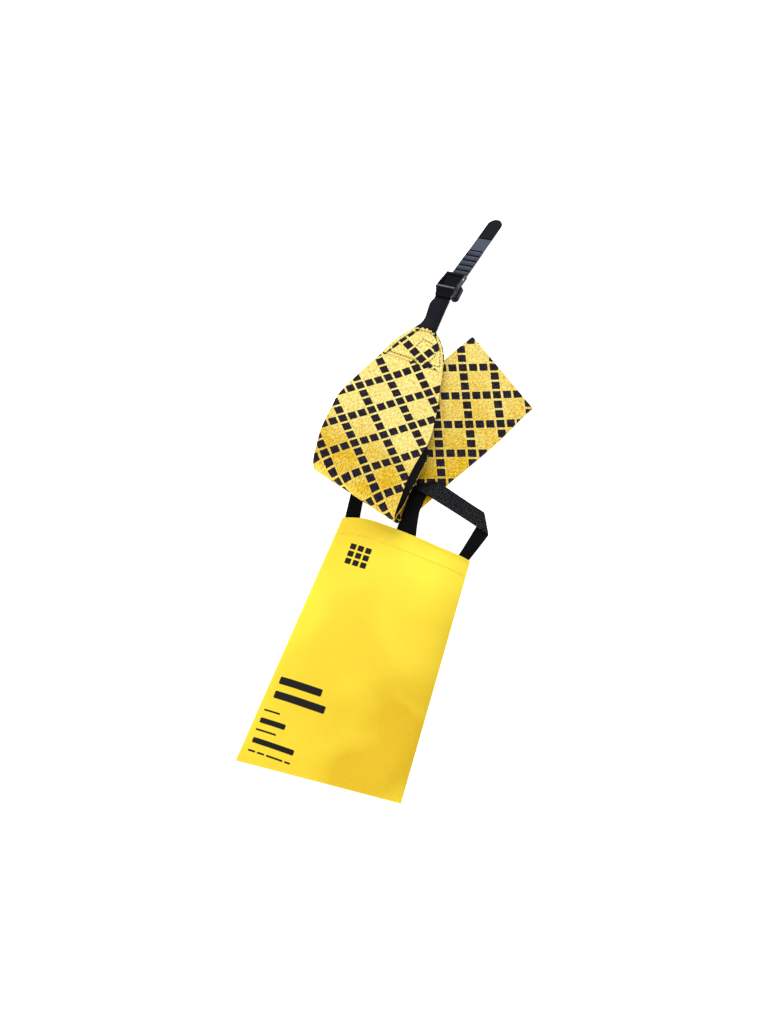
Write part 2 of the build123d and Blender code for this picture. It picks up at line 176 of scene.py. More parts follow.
def mesh_piece(name, points, faces, uv=None, wall_from=None, marks=(), sharp=38.0):
    """An object from layout points.

    Faces from wall_from on take the second material.  Marks are numbers for the materials, one for each point.
    """
    mesh = bpy.data.meshes.new(name)
    mesh.from_pydata(world(points).tolist(), [], [tuple(int(i) for i in face) for face in faces])
    if wall_from is not None:
        for polygon in mesh.polygons[wall_from:]:
            polygon.material_index = 1
    if uv is not None:
        corner = np.zeros(len(mesh.loops), np.int32)
        mesh.loops.foreach_get("vertex_index", corner)
        layer = mesh.uv_layers.new(name="flat")
        layer.data.foreach_set("uv", (np.asarray(uv, float) * MM)[corner].ravel())
    for mark, values in dict(marks).items():
        layer = mesh.attributes.new(mark, "FLOAT", "POINT")
        layer.data.foreach_set("value", np.asarray(values, np.float32).ravel())
    work = bmesh.new()
    work.from_mesh(mesh)
    bmesh.ops.recalc_face_normals(work, faces=work.faces)
    work.to_mesh(mesh)
    work.free()
    mesh.shade_smooth()
    mesh.set_sharp_from_angle(angle=radians(sharp))
    piece = bpy.data.objects.new(name, mesh)
    bpy.context.scene.collection.objects.link(piece)
    return piece


def thin_piece(name, top, bottom, uv, **marks):
    """A closed layer between two matching grids of points, with a grid of numbers for each mark."""
    rows, columns = top.shape[:2]
    index = np.arange(rows * columns).reshape(rows, columns)
    low = index + rows * columns
    quads = np.stack([index[:-1, :-1], index[1:, :-1], index[1:, 1:], index[:-1, 1:]], -1).reshape(-1, 4)
    faces = np.vstack([quads, quads[:, ::-1] + rows * columns]).tolist()
    wall_from = len(faces)
    sides = ((index[0], low[0]), (index[-1], low[-1]), (index[:, 0], low[:, 0]), (index[:, -1], low[:, -1]))
    for edge, under in sides:
        faces += [[edge[i], edge[i + 1], under[i + 1], under[i]] for i in range(len(edge) - 1)]
    points = np.vstack([top.reshape(-1, 3), bottom.reshape(-1, 3)])
    flat = np.asarray(uv, float).reshape(-1, 2)
    both = {mark: np.tile(np.ravel(values), 2) for mark, values in marks.items()}
    return mesh_piece(name, points, faces, np.vstack([flat, flat]), wall_from, both)


def grid_normals(grid):
    """Unit normals of a grid of points."""
    along = np.gradient(grid, axis=0)
    across = np.gradient(grid, axis=1)
    normal = np.cross(across, along)
    return normal / np.maximum(np.linalg.norm(normal, axis=2, keepdims=True), 1e-9)


def set_materials(piece, *materials):
    """Gives a piece its face material and, for cut cloth, its edge material."""
    piece.data.materials.clear()
    for material in materials:
        piece.data.materials.append(material)


# ---------------------------------------------------------------- node helpers

def rgb(red, green, blue):
    """An sRGB colour from 0 to 255, as linear light."""
    linear = []
    for value in (red, green, blue):
        c = value / 255
        linear.append(c / 12.92 if c <= 0.04045 else ((c + 0.055) / 1.055) ** 2.4)
    return (*linear, 1.0)


class Finish:
    """A material's node tree, with short calls for the nodes used below."""

    def __init__(self, name, **constants):
        self.material = bpy.data.materials.new(name)
        self.material.use_nodes = True
        self.tree = self.material.node_tree
        self.shader = self.tree.nodes["Principled BSDF"]
        for socket, value in constants.items():
            self.shader.inputs[socket.replace("_", " ")].default_value = value

    def link(self, source, target):
        if isinstance(source, bpy.types.NodeSocket):
            self.tree.links.new(source, target)
        else:
            target.default_value = source

    def node(self, kind, inputs=(), **settings):
        made = self.tree.nodes.new("ShaderNode" + kind)
        for key, value in settings.items():
            setattr(made, key, value)
        for key, value in dict(inputs).items():
            self.link(value, made.inputs[key])
        return made

    def math(self, operation, a, b=0.0, c=0.0):
        return self.node("Math", {0: a, 1: b, 2: c}, operation=operation).outputs[0]

    def step(self, value, low, high, to_low=0.0, to_high=1.0):
        inputs = {"Value": value, "From Min": low, "From Max": high, "To Min": to_low, "To Max": to_high}
        return self.node("MapRange", inputs, interpolation_type="SMOOTHSTEP").outputs[0]

    def mix(self, factor, a, b):
        made = self.node("Mix", data_type="RGBA")
        for socket, value in ((0, factor), (6, a), (7, b)):
            self.link(value, made.inputs[socket])
        return made.outputs[2]

    def flat(self):
        """The cloth's own coordinates, in millimetres."""
        source = self.node("UVMap", uv_map="flat").outputs[0]
        return self.node("VectorMath", {0: source, 1: (1000, 1000, 1000)}, operation="MULTIPLY").outputs[0]

    def place(self):
        """Coordinates in space, in millimetres."""
        source = self.node("TexCoord").outputs["Object"]
        return self.node("VectorMath", {0: source, 1: (1000, 1000, 1000)}, operation="MULTIPLY").outputs[0]

    def grain(self, vector, angle, *size):
        """Coordinates turned to an angle and measured in units of size along and across it."""
        inputs = {"Vector": vector, "Rotation": (0, 0, angle), "Scale": size}
        return self.node("Mapping", inputs, vector_type="TEXTURE").outputs[0]

    def mark(self, name):
        """A number that the mesh carries, 0 where it has none."""
        return self.node("Attribute", attribute_name=name).outputs["Fac"]

    def split(self, vector):
        made = self.node("SeparateXYZ", {0: vector})
        return made.outputs[0], made.outputs[1], made.outputs[2]

    def distance(self, start, direction):
        """How far a point lies along a direction from a layout point, in millimetres."""
        inputs = {0: self.place(), 1: Vector(world(start)) * 1000}
        shifted = self.node("VectorMath", inputs, operation="SUBTRACT")
        inputs = {0: shifted.outputs[0], 1: direction}
        return self.node("VectorMath", inputs, operation="DOT_PRODUCT").outputs["Value"]

    def noise(self, vector, scale, detail=3.0, roughness=0.55):
        inputs = {"Vector": vector, "Scale": scale, "Detail": detail, "Roughness": roughness}
        return self.node("TexNoise", inputs).outputs[0]

    def bump(self, height, distance, strength=1.0, below=None):
        inputs = {"Height": height, "Distance": distance * MM, "Strength": strength}
        if below is not None:
            inputs["Normal"] = below
        return self.node("Bump", inputs).outputs[0]

    def done(self, colour, roughness, normal=None):
        self.link(colour, self.shader.inputs["Base Color"])
        self.link(roughness, self.shader.inputs["Roughness"])
        if normal is not None:
            self.link(normal, self.shader.inputs["Normal"])
        return self.material


def box_mask(finish, vector, centre, size, corner):
    """1 inside a rectangle with round corners, 0 outside."""
    shifted = finish.node("VectorMath", {0: vector, 1: (*centre, 0)}, operation="SUBTRACT").outputs[0]
    folded = finish.node("VectorMath", {0: shifted}, operation="ABSOLUTE").outputs[0]
    inner = (size[0] / 2 - corner, size[1] / 2 - corner, 1e6)
    outside = finish.node("VectorMath", {0: folded, 1: inner}, operation="SUBTRACT").outputs[0]
    outside = finish.node("VectorMath", {0: outside, 1: (0, 0, 0)}, operation="MAXIMUM").outputs[0]
    far = finish.node("VectorMath", {0: outside}, operation="LENGTH").outputs["Value"]
    return finish.step(far, corner + 0.25, corner - 0.25)


# ---------------------------------------------------------------- materials

def plush_material():
    """Golden plush with a slanting nap, printed with rows of dark squares that frame plain diamonds.

    The mesh says where the cloth is unprinted and where sheen and shade are painted into the gold: -1 is deep
    gold in painted shade, 1 is a pale painted sheen.
    """
    finish = Finish("printed_plush", Sheen_Weight=0.18, Sheen_Roughness=0.4, Specular_IOR_Level=0.1)
    finish.shader.inputs["Sheen Tint"].default_value = rgb(255, 242, 180)
    flat = finish.flat()
    streaks = finish.noise(finish.grain(flat, PRINT_NAP, 4.6, 1.3, 1), 1.0, 4.0, 0.66)
    fine = finish.noise(finish.grain(flat, PRINT_NAP, 1.6, 0.6, 1), 1.0, 2.0)
    cloudy = finish.noise(flat, 0.025, 2.0)
    wander = finish.math("MULTIPLY_ADD", fine, 0.16, -0.08)
    cell = finish.grain(flat, radians(-45), *(PRINT_CELL / 3,) * 3)
    shift = finish.node("CombineXYZ", {0: wander, 1: wander}).outputs[0]
    x, y, _ = finish.split(finish.node("VectorMath", {0: cell, 1: shift}, operation="ADD").outputs[0])
    across = finish.math("ABSOLUTE", finish.math("SUBTRACT", finish.math("FLOORED_MODULO", x, 1.0), 0.5))
    along = finish.math("ABSOLUTE", finish.math("SUBTRACT", finish.math("FLOORED_MODULO", y, 1.0), 0.5))
    reach = finish.math("SMOOTH_MAX", across, along, 0.06)
    column = finish.math("FLOORED_MODULO", x, 3.0)
    row = finish.math("FLOORED_MODULO", y, 3.0)
    on_row = finish.math("LESS_THAN", finish.math("MINIMUM", column, row), 1.0)
    printed = finish.math("MULTIPLY", on_row, finish.math("SUBTRACT", 1.0, finish.mark("plain")))
    ink = finish.math("MULTIPLY", finish.step(reach, 0.415, 0.385), printed)
    halo = finish.math("MULTIPLY", finish.step(reach, 0.50, 0.43), printed)
    # Painted sheen and shade that the mesh carries, with random cloudy tone on top
    pale = finish.math("ADD", finish.mark("pile"), finish.step(cloudy, 0.35, 0.65, -0.3, 0.3))
    pale = finish.step(pale, -1.2, 1.2)
    low = finish.mix(pale, rgb(176, 136, 0), rgb(212, 184, 82))
    high = finish.mix(pale, rgb(242, 196, 10), rgb(255, 242, 160))
    gold = finish.mix(finish.step(streaks, 0.40, 0.60), low, high)
    gold = finish.mix(finish.math("MULTIPLY", halo, 0.35), gold, rgb(255, 240, 130))
    dark = finish.mix(finish.step(streaks, 0.42, 0.64), rgb(9, 6, 12), rgb(52, 40, 58))
    colour = finish.mix(ink, gold, dark)
    normal = finish.bump(streaks, 0.6, 0.6)
    normal = finish.bump(fine, 0.15, 0.5, normal)
    return finish.done(colour, 0.8, normal)


def plush_edge_material():
    """The cut edge of the plush: short bright tufts."""
    finish = Finish("plush_cut_edge", Sheen_Weight=0.2, Specular_IOR_Level=0.2)
    tufts = finish.noise(finish.place(), 1.6, 3.0)
    colour = finish.mix(finish.step(tufts, 0.35, 0.65), rgb(232, 196, 70), rgb(255, 246, 150))
    return finish.done(colour, 0.85, finish.bump(tufts, 0.3, 0.6))


def glue_material():
    """Black tacky adhesive with faint brush marks."""
    finish = Finish("glue", Specular_IOR_Level=0.03)
    marks = finish.noise(finish.grain(finish.flat(), 0.1, 1.7, 20, 1), 1.0, 3.0)
    colour = finish.mix(marks, rgb(4, 2, 3), rgb(16, 10, 12))
    return finish.done(colour, finish.step(marks, 0.3, 0.7, 0.42, 0.6), finish.bump(marks, 0.12, 0.5))


def bag_material(prints):
    """Yellow woven polyester, with painted shading and dark printed shapes on the front panel."""
    name = "bag_fabric_print" if prints else "bag_fabric"
    finish = Finish(name, Sheen_Weight=0.05, Specular_IOR_Level=0.22)
    flat = finish.flat()
    x, y, _ = finish.split(flat)
    thread = 2 * pi / 0.9
    warp = finish.math("SINE", finish.math("MULTIPLY", x, thread))
    weft = finish.math("SINE", finish.math("MULTIPLY", y, thread))
    weave = finish.math("MULTIPLY", warp, weft)
    slubs = finish.noise(finish.grain(flat, 0.0, 1.1, 8.3, 1), 1.0, 3.0)
    broad = finish.noise(flat, 0.0085, 1.5)
    # Painted shading that the mesh carries, darker and paler patches, plus random tone from broad noise
    tone = finish.math("MULTIPLY_ADD", finish.mark("tone"), 0.5, finish.step(broad, 0.38, 0.62, 0.4, 0.7))
    colour = finish.mix(tone, rgb(220, 179, 12), rgb(253, 229, 56))
    colour = finish.mix(finish.step(slubs, 0.3, 0.75, 0.0, 0.14), colour, rgb(255, 234, 110))
    colour = finish.mix(finish.step(weave, 0.2, 1.0, 0.0, 0.08), colour, rgb(214, 166, 14))
    roughness = finish.step(slubs, 0.3, 0.7, 0.46, 0.56)
    if prints:
        ink = 0.0
        for centre, size, corner in prints:
            ink = finish.math("MAXIMUM", ink, box_mask(finish, flat, centre, size, corner))
        colour = finish.mix(ink, colour, rgb(10, 8, 6))
    normal = finish.bump(weave, 0.05, 0.5)
    normal = finish.bump(slubs, 0.12, 0.35, normal)
    return finish.done(colour, roughness, normal)


def webbing_material():
    """Matt black woven tape: herringbone ribs, with a painted highlight, grey and speckled, where the mesh
    marks one.
    """
    finish = Finish("webbing", Specular_IOR_Level=0.05)
    flat = finish.flat()
    x, y, _ = finish.split(flat)
    zigzag = finish.math("PINGPONG", y, 3.0)
    ribs = finish.math("SINE", finish.math("MULTIPLY", finish.math("ADD", x, zigzag), 2 * pi / 2.4))
    threads = finish.math("SINE", finish.math("MULTIPLY", y, 2 * pi / 1.0))
    fuzz = finish.noise(flat, 0.55, 3.0, 0.7)
    cloth = finish.math("MULTIPLY_ADD", threads, 0.3, ribs)
    lit = finish.math("MULTIPLY_ADD", finish.step(fuzz, 0.3, 0.7, -1.0, 1.0), 1.1, cloth)
    colour = finish.mix(finish.step(cloth, -0.5, 1.3), rgb(3, 3, 4), rgb(26, 26, 29))
    # Painted highlight: grey speckle where light grazes the weave
    worn = finish.math("MULTIPLY", finish.mark("worn"), finish.step(lit, 0.1, 1.9))
    colour = finish.mix(worn, colour, rgb(82, 83, 88))
    return finish.done(colour, 0.8, finish.bump(cloth, 0.25, 0.8))


def rubber_material(name, low, high, roughness):
    """Moulded rubber with a dusty bloom."""
    finish = Finish(name, Specular_IOR_Level=0.05)
    bloom = finish.noise(finish.place(), 0.06, 3.0)
    grain = finish.noise(finish.place(), 1.8, 2.0)
    colour = finish.mix(finish.step(bloom, 0.3, 0.7), low, high)
    dusty = finish.step(grain, 0.3, 0.7, roughness, roughness + 0.12)
    return finish.done(colour, dusty, finish.bump(grain, 0.05, 0.4))


def ladder_material():
    """Slate rubber with teeth: painted light rises along each and painted shade fills the grooves, then a
    smooth paler panel, painted shade at the end's step and a dark end.

    Each is placed by its distance up the strap.
    """
    finish = Finish("ladder_rubber", Specular_IOR_Level=0.05)
    along = finish.distance(LADDER_START, (sin(LADDER_TURN), cos(LADDER_TURN), 0))
    place = finish.place()
    bloom = finish.noise(place, 0.08, 3.0)
    grain = finish.noise(place, 1.8, 2.0)
    past = finish.math("SUBTRACT", along, GROOVE_START)
    # Painted light: each pitch grows paler from dark, with the rubber's bloom mixed in
    painted_ramp_light_and_bloom = finish.math("DIVIDE", finish.math("FLOORED_MODULO", past, GROOVE_PITCH), GROOVE_PITCH)
    painted_ramp_light_and_bloom = finish.math("MULTIPLY_ADD", bloom, 0.5, finish.math("SUBTRACT", painted_ramp_light_and_bloom, 0.25))
    colour = finish.mix(painted_ramp_light_and_bloom, rgb(30, 35, 43), rgb(76, 82, 94))
    nearest = finish.math("PINGPONG", past, GROOVE_PITCH / 2)
    panel = finish.math("MULTIPLY", finish.step(along, 89.2, 89.8), finish.step(along, 111.4, 110.8))
    # Painted shade in the grooves
    colour = finish.mix(finish.step(nearest, 1.35, 0.75), colour, rgb(4, 5, 9))
    colour = finish.mix(panel, colour, finish.mix(bloom, rgb(62, 68, 80), rgb(76, 83, 95)))
    # Painted shade at the step before the dark end
    colour = finish.mix(finish.step(along, 110.2, 110.8), colour, rgb(4, 5, 9))
    colour = finish.mix(finish.step(along, 112.0, 112.6), colour, rgb(14, 20, 24))
    colour = finish.mix(finish.step(along, 12, 10), colour, rgb(12, 12, 17))
    return finish.done(colour, finish.step(grain, 0.3, 0.7, 0.36, 0.5), finish.bump(grain, 0.05, 0.4))


def plastic_material():
    """Glossy black moulded plastic, with pale painted highlights along the front bar's top and the hook's
    side.
    """
    finish = Finish("buckle_plastic", Specular_IOR_Level=0.06)
    grain = finish.noise(finish.place(), 2.2, 2.0)
    swirl = finish.noise(finish.place(), 0.12, 2.0)
    turn, tilt = LADDER_TURN, LADDER_TWIST
    along = (sin(turn), cos(turn), 0)
    across = (cos(tilt) * cos(turn), -cos(tilt) * sin(turn), sin(tilt))
    up = (-sin(tilt) * cos(turn), sin(tilt) * sin(turn), cos(tilt))
    middle = tuple(a + BUCKLE_AT * b for a, b in zip(LADDER_START, along))
    x, y, z = (finish.distance(middle, direction) for direction in (across, along, up))
    # Painted highlights: a pale glint along the front bar's top and on the hook's side
    bar = finish.math("MULTIPLY", finish.step(y, -9.4, -8.4), finish.step(y, -6.4, -7.0))
    bar = finish.math("MULTIPLY", bar, finish.step(z, 6.8, 7.4))
    side = finish.math("MULTIPLY", finish.step(x, 13.4, 13.9), finish.step(x, 16.0, 15.2))
    side = finish.math("MULTIPLY", side, finish.step(z, -1.5, 1.5))
    side = finish.math("MULTIPLY", side, finish.step(z, 7.5, 4.5))
    painted_glint = finish.math("MAXIMUM", bar, finish.math("MULTIPLY", side, 0.8))
    painted_glint = finish.math("MULTIPLY", painted_glint, finish.step(swirl, 0.25, 0.6, 0.55, 1.0))
    colour = finish.mix(swirl, rgb(6, 7, 11), rgb(14, 16, 21))
    colour = finish.mix(painted_glint, colour, rgb(98, 103, 110))
    return finish.done(colour, finish.step(grain, 0.3, 0.7, 0.2, 0.32), finish.bump(grain, 0.03, 0.4))


def steel_material():
    """Drawn stainless wire."""
    finish = Finish("steel", Metallic=1.0)
    drawn = finish.noise(finish.grain(finish.place(), 0.0, 10, 0.5, 0.5), 1.0, 3.0)
    colour = finish.mix(drawn, rgb(150, 150, 152), rgb(208, 208, 210))
    return finish.done(colour, finish.step(drawn, 0.3, 0.7, 0.22, 0.38), finish.bump(drawn, 0.02, 0.4))


def thread_material(name, low, high):
    """Twisted sewing thread."""
    finish = Finish(name, Specular_IOR_Level=0.3, Sheen_Weight=0.2)
    x, y, z = finish.split(finish.place())
    slant = finish.math("ADD", finish.math("ADD", x, y), z)
    twist = finish.math("SINE", finish.math("MULTIPLY", slant, 2 * pi / 0.5))
    return finish.done(finish.mix(finish.step(twist, -1, 1), low, high), 0.7, finish.bump(twist, 0.05, 0.5))


# Plain printed shapes on the bag: a block of squares near the mouth and bars near the bottom,
# each bar as its left end, middle height, thickness and length
MARK_PLACE = (-46.0, -44.0)
MARK_PITCH = 9.6
MARK_SIZE = 7.4
LABEL_BARS = [
    (-82, -215.5, 9.0, 52), (-82, -233.0, 9.0, 62), (-87, -253.5, 2.2, 20), (-87, -266.0, 6.4, 31),
    (-88, -277.4, 2.2, 25), (-87, -289.8, 6.4, 50), (-88, -302.2, 2.2, 9), (-77, -302.2, 2.2, 9),
    (-66, -302.2, 2.2, 20), (-44, -302.2, 2.2, 7),
]


def bag_prints():
    """Each printed shape on the bag: its centre, size and corner radius."""
    shapes = []
    for i in (-1, 0, 1):
        for j in (-1, 0, 1):
            centre = (MARK_PLACE[0] + i * MARK_PITCH, MARK_PLACE[1] + j * MARK_PITCH)
            shapes.append((centre, (MARK_SIZE, MARK_SIZE), 1.0))
    for x, y, height, length in LABEL_BARS:
        shapes.append(((x + length / 2, y), (length, height), min(height / 2, 1.6)))
    return shapes


PLUSH = plush_material()
PLUSH_EDGE = plush_edge_material()
GLUE = glue_material()
BAG_FRONT = bag_material(bag_prints())
BAG_CLOTH = bag_material(())
WEBBING = webbing_material()
STRAP = rubber_material("strap_rubber", rgb(11, 11, 18), rgb(21, 21, 30), 0.42)
LADDER = ladder_material()
PLASTIC = plastic_material()
STEEL = steel_material()
YELLOW_THREAD = thread_material("yellow_thread", rgb(222, 178, 26), rgb(250, 214, 78))
DARK_THREAD = thread_material("dark_thread", rgb(18, 15, 20), rgb(52, 46, 54))


# ---------------------------------------------------------------- skin

def profile(run):
    """The folded strip's middle surface at a run from the crest.

    Gives its distance from the crest in plan, its height and how steeply it falls.
    """
    roll = np.clip(run, -ROLL_RUN, 0) / ROLL_R
    first = np.clip(run, 0, FALL_RUN) / FALL_R
    slope = np.clip(run - FALL_RUN, 0, SLOPE_RUN)
    last = np.clip(run - FALL_RUN - SLOPE_RUN, 0, FALL_RUN) / FALL_R
    level = np.clip(run - 2 * FALL_RUN - SLOPE_RUN, 0, None)
    t = ROLL_R * np.sin(roll) + FALL_R * np.sin(first) + slope * cos(FALL)
    t = t + FALL_R * (sin(FALL) - np.sin(FALL - last)) + level
    z = Z_CREST - ROLL_R * (1 - np.cos(roll)) - FALL_R * (1 - np.cos(first)) - slope * sin(FALL)
    z = z - FALL_R * (np.cos(FALL - last) - cos(FALL))
    return t, z, roll + first - last


# Soft waves of the flap, as blobs() takes them, by place across it and run from the crest
FLAP_WAVES = [(60, 60, 60, 16, -20, -1.3), (20, 120, 50, 20, 30, 0.9), (95, 30, 30, 14, 0, 0.8),
              (30, 30, 40, 12, -10, 0.7)]


def flap_waves(v, run):
    """How the flap's soft waves lift and sink it."""
    return ease(run / 30) * blobs(v, run, FLAP_WAVES)


def on_flap(v, run, offset):
    """A layout point on the roll or flap, some height above the double strip's middle."""
    t, z, fall = profile(run)
    t = t + offset * np.sin(fall)
    z = z + offset * np.cos(fall) + flap_waves(v, run)
    plan = ROLL_LEFT + v[..., None] * ROLL_DIR + t[..., None] * ROLL_NORMAL
    return np.concatenate([plan, z[..., None]], -1)


def flap_flat(points):
    """Flat coordinates, across and run, of plan points on the flap."""
    local = np.asarray(points, float) - ROLL_LEFT
    run = np.linspace(0, 260, 400)
    return np.stack([local @ ROLL_DIR, np.interp(local @ ROLL_NORMAL, profile(run)[0], run)], -1)


# Edges in plan from the roll's crest to the tail, and on the roll as (across, run)
TAIL_LEFT = [(-137.6, 61), (-141, 90), (-140.2, 128), (-137.6, 150.8), (-121.5, 196.4), (-108.9, 226),
             (-100.8, 246), (-90, 263), (-80.8, 275.7)]
TAIL_RIGHT = [(-18.5, 26.3), (-18.7, 64.6), (-15.4, 94.5), (-11.2, 122.6), (-15.1, 164.5), (-21.4, 199.5),
              (-29.7, 240.8), (-35.4, 255.8), (-42, 266), (-48.5, 273.1)]
TIP_LEFT = [(-133, 59.6), (-136, 90), (-135, 128), (-131, 155), (-114, 196), (-100, 224)]
TIP_RIGHT = [(-12.5, 24.6), (-10.6, 43.8), (-7.6, 72.2), (-5.9, 98.8), (-11.4, 119.4), (-17, 150), (-26, 195),
             (-42, 224)]
ROLL_LEFT_EDGE = [(8.3, -ROLL_RUN), (5.7, -ROLL_RUN / 2)]
ROLL_RIGHT_EDGE = [(131.4, -ROLL_RUN), (125.9, -ROLL_RUN / 2)]


def flap_grid(left, right, inset=0.0):
    """Flat coordinates over the roll and the flap, between a left and a right edge."""
    left = np.vstack([ROLL_LEFT_EDGE, flap_flat(left)])
    right = np.vstack([ROLL_RIGHT_EDGE, flap_flat(right)])
    left = curve_through(left, FLAP_ROWS)[:, None]
    right = curve_through(right, FLAP_ROWS)[:, None]
    share = np.linspace(0, 1, SKIN_COLUMNS)[None, :, None]
    grid = left + (right - left) * share
    grid[..., 0] += inset * (1 - 2 * share[..., 0])
    return grid


def print_place(v, run):
    """Where a point of the tail half lies in the print."""
    turn = PRINT_ON_FLAP
    return np.stack([run * sin(turn) + v * cos(turn), run * cos(turn) - v * sin(turn)], -1)


def make_upper(name, left, right, faces, inset, node, materials):
    """One layer of the roll and the flap, bent round the roll."""
    flat = flap_grid(left, right, inset)
    v, run = flat[..., 0], flat[..., 1]
    top = on_flap(v, run, max(faces))
    bottom = on_flap(v, run, min(faces))
    pile = -0.55 + 1.5 * ease((run - 10) / 80)      # painted shade, deep gold, on the roll; pale painted sheen past it
    piece = thin_piece(name, top, bottom, print_place(v, run), pile=pile)
    set_materials(piece, *materials)
    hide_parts(node)
    return piece


BASE_LEFT_LINE = [(-126, 57.6), (-30.9, 244.3), (-7.6, 288)]
BASE_RIGHT_LINE = [(-7.8, 23.2), (6.0, 42), (29.2, 86), (65.4, 151), (94.4, 213.9)]


def make_lower(name, offsets, inset, node, materials):
    """One layer of the lower strip: the long run, the far fold and the part underneath."""
    left = curve_through(BASE_LEFT_LINE, BASE_ROWS)
    right = curve_through(BASE_RIGHT_LINE, BASE_ROWS)
    far_dir = (right[-1] - left[-1]) / np.linalg.norm(right[-1] - left[-1])
    far_normal = np.array((-far_dir[1], far_dir[0]))
    base_dir = (left[-1] - left[0]) / np.linalg.norm(left[-1] - left[0])
    share = np.linspace(0, 1, SKIN_COLUMNS)[:, None]
    levels = []
    for offset in offsets:
        rows = []
        for a, b in zip(left, right):
            plan = a + (b - a) * share
            rows.append(np.hstack([plan, np.full_like(share, Z_BASE - offset)]))
        end = rows[-1][:, :2]
        radius = FAR_R - offset
        for turn in np.linspace(0, pi, 9)[1:]:
            height = np.full_like(share, Z_FAR + radius * cos(turn))
            rows.append(np.hstack([end + far_normal * radius * sin(turn), height]))
        narrow = end + far_dir * UNDER_INSET * (1 - 2 * share)
        for distance in np.linspace(4, UNDER_RUN, 30):
            plan = end + (narrow - end) * min(1, distance / 30) - base_dir * distance
            rows.append(np.hstack([plan, np.full_like(share, Z_UNDER + offset)]))
        levels.append(np.array(rows))
    steps = np.linalg.norm(np.diff(levels[0], axis=0), axis=2)
    run = np.vstack([np.zeros((1, len(share))), np.cumsum(steps, axis=0)])
    start = left[0] + (right[0] - left[0]) * share
    print_dir = np.array((cos(PRINT_ON_BASE), sin(PRINT_ON_BASE)))
    print_side = np.array((sin(PRINT_ON_BASE), -cos(PRINT_ON_BASE)))
    uv = np.stack([(start @ way)[None, :] + run * (base_dir @ way) for way in (print_side, print_dir)], -1)
    pull = inset * np.concatenate([far_dir, [0]]) * (1 - 2 * share)
    # Painted shade, deep gold, near the roll, paler further on, and the corner beside the front handle is
    # unprinted
    pile = -1.1 + 1.3 * ease(run / 230)
    plain = ease((share.T - 0.84) / 0.02) * ease((42 - run) / 2)
    piece = thin_piece(name, levels[0] + pull, levels[1] + pull, uv, pile=pile, plain=plain)
    set_materials(piece, *materials)
    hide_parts(node)
    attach(piece, "root")
    return piece


def make_skin():
    """Four layers, each in an upper piece that bends at the roll and a lower piece on the table."""
    layers = (
        ("tail_plush", TAIL_LEFT, TAIL_RIGHT, 1, PLUSH_FACES, 0.0, (PLUSH, PLUSH_EDGE), "printed_plush"),
        ("tail_glue", TAIL_LEFT, TAIL_RIGHT, 1, GLUE_FACES, 0.4, (GLUE, GLUE), "glue_backing"),
        ("tip_glue", TIP_LEFT, TIP_RIGHT, -1, GLUE_FACES, 0.4, (GLUE, GLUE), "glue_backing"),
        ("tip_plush", TIP_LEFT, TIP_RIGHT, -1, PLUSH_FACES, 0.0, (PLUSH, PLUSH_EDGE), "printed_plush"),
    )
    for name, left, right, side, faces, inset, materials, slot in layers:
        offsets = [side * face for face in faces]
        upper = make_upper(name + "_upper", left, right, offsets, inset, name + "_flap", materials)
        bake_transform(upper)
        lower = make_lower(name + "_lower", offsets, inset, name + "_base", materials)


# ---------------------------------------------------------------- bag

# Soft dents and bumps of the front panel, as blobs() takes them
DENTS = [(-20, -120, 70, 34, 60, 1.0), (40, -95, 45, 22, -55, -1.2), (25, -175, 70, 26, 25, 2.0),
         (42, -248, 75, 34, 50, -3.4), (-45, -245, 40, 26, 20, 0.8), (12, -285, 40, 12, 30, -1.0),
         (74, -285, 30, 10, 70, 1.2), (60, -60, 30, 18, 70, 0.8), (-60, -70, 40, 20, 80, -0.7)]

# Painted shading on the front panel: deeper colour below 0, paler above 0, as DENTS
PAINTED_SHADING = [(58, -26, 60, 30, 5, 1.0), (66, -258, 70, 38, 75, -1.5), (40, -292, 46, 22, 15, -0.6),
         (20, -215, 60, 22, 50, -0.5), (-30, -275, 50, 30, 20, 0.3), (-40, -110, 60, 40, 70, 0.2),
         (74, -196, 24, 8, -20, 0.5), (-62, -12, 40, 14, 5, -0.3), (26, -278, 24, 16, 60, -0.6),
         (46, -217, 32, 12, 40, -0.5)]

MOUTH_W = MOUTH_BOW[-1][0]
MOUTH_EDGE = curve_through(MOUTH_BOW, 80)


def bag_plan(u, down):
    """A plan point of the bag: a share of the way across, and some way down from the mouth."""
    top_left, top_right, low_right, low_left = BAG_CORNERS
    u = np.asarray(u, float)[..., None]
    down = np.asarray(down, float)[..., None]
    mouth = top_left + (top_right - top_left) * u
    mouth = mouth + np.concatenate([0 * u, np.interp(MOUTH_W * u, *MOUTH_EDGE.T)], -1)
    low = low_left + (low_right - low_left) * u
    return mouth + (low - mouth) * down / BAG_DEPTH


def bag_top(u, down):
    """The height of the front panel's outer face."""
    plan = bag_plan(u, down)
    width = BORDER_MOUTH_W + BORDER_WIDENS * down / BAG_DEPTH
    side = np.minimum(u, 1 - u) * width
    edge = np.clip(side / BORDER, 0, 1)
    foot = np.clip((BAG_DEPTH - down) / BORDER, 0, 1)
    rise = (np.sin(pi / 2 * edge) * np.sin(pi / 2 * foot)) ** 0.7
    high = Z_MOUTH + (Z_BOTTOM - Z_MOUTH) * down / BAG_DEPTH - PANEL_T / 2
    hem = 0.5 * ease((HEM_DEPTH - 1 - down) / 2.5)
    pucker = 0.12 * np.sin(2 * pi * plan[..., 0] / 6.3) * np.exp(-((down - HEM_DEPTH + 2) / 3.0) ** 2)
    soft = blobs(plan[..., 0], plan[..., 1], DENTS) + hem + pucker
    return PANEL_T + 0.55 + (high - PANEL_T - 0.55 + soft) * rise


